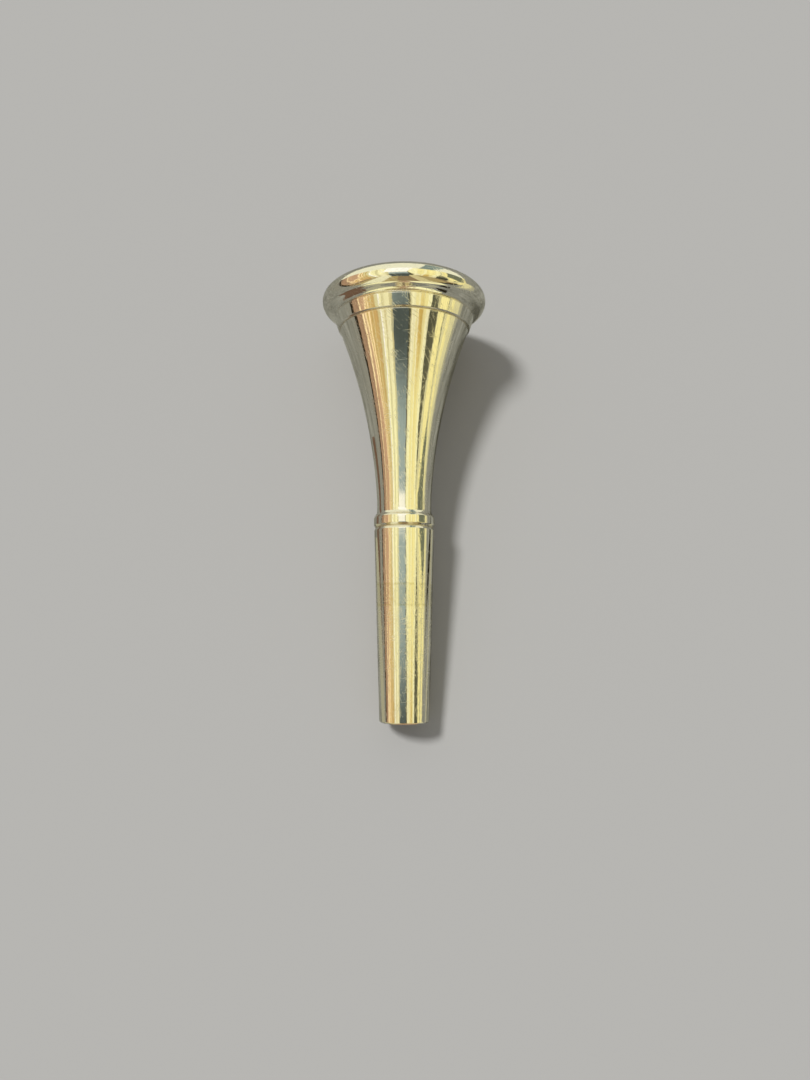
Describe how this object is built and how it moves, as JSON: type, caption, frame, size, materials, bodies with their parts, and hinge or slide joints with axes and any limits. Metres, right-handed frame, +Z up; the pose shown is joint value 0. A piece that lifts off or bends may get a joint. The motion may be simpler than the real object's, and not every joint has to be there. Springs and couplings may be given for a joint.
{
  "type": "french horn mouthpiece",
  "caption": "Silver plated brass horn mouthpiece: rounded rim over a deep funnel cup, slender flared body and a tapered shank that plugs into the horn.",
  "frame": {"origin": "on the surface it lies on, under the middle of its box", "axes": "+Y from the shank's end towards the rim, level; +Z up; +X across. The turned axis climbs about 8 degrees from the shank's end to the rim, because the mouthpiece lies on its rim and on the end of its shank"},
  "size_m": [0.0252, 0.0672, 0.025],
  "materials": {
    "silver_plated_brass": "silver plated and polished to a mirror, with fine wear scratches"
  },
  "bodies": {
    "root": {"mouthpiece": "silver_plated_brass"}
  },
  "joints": []
}
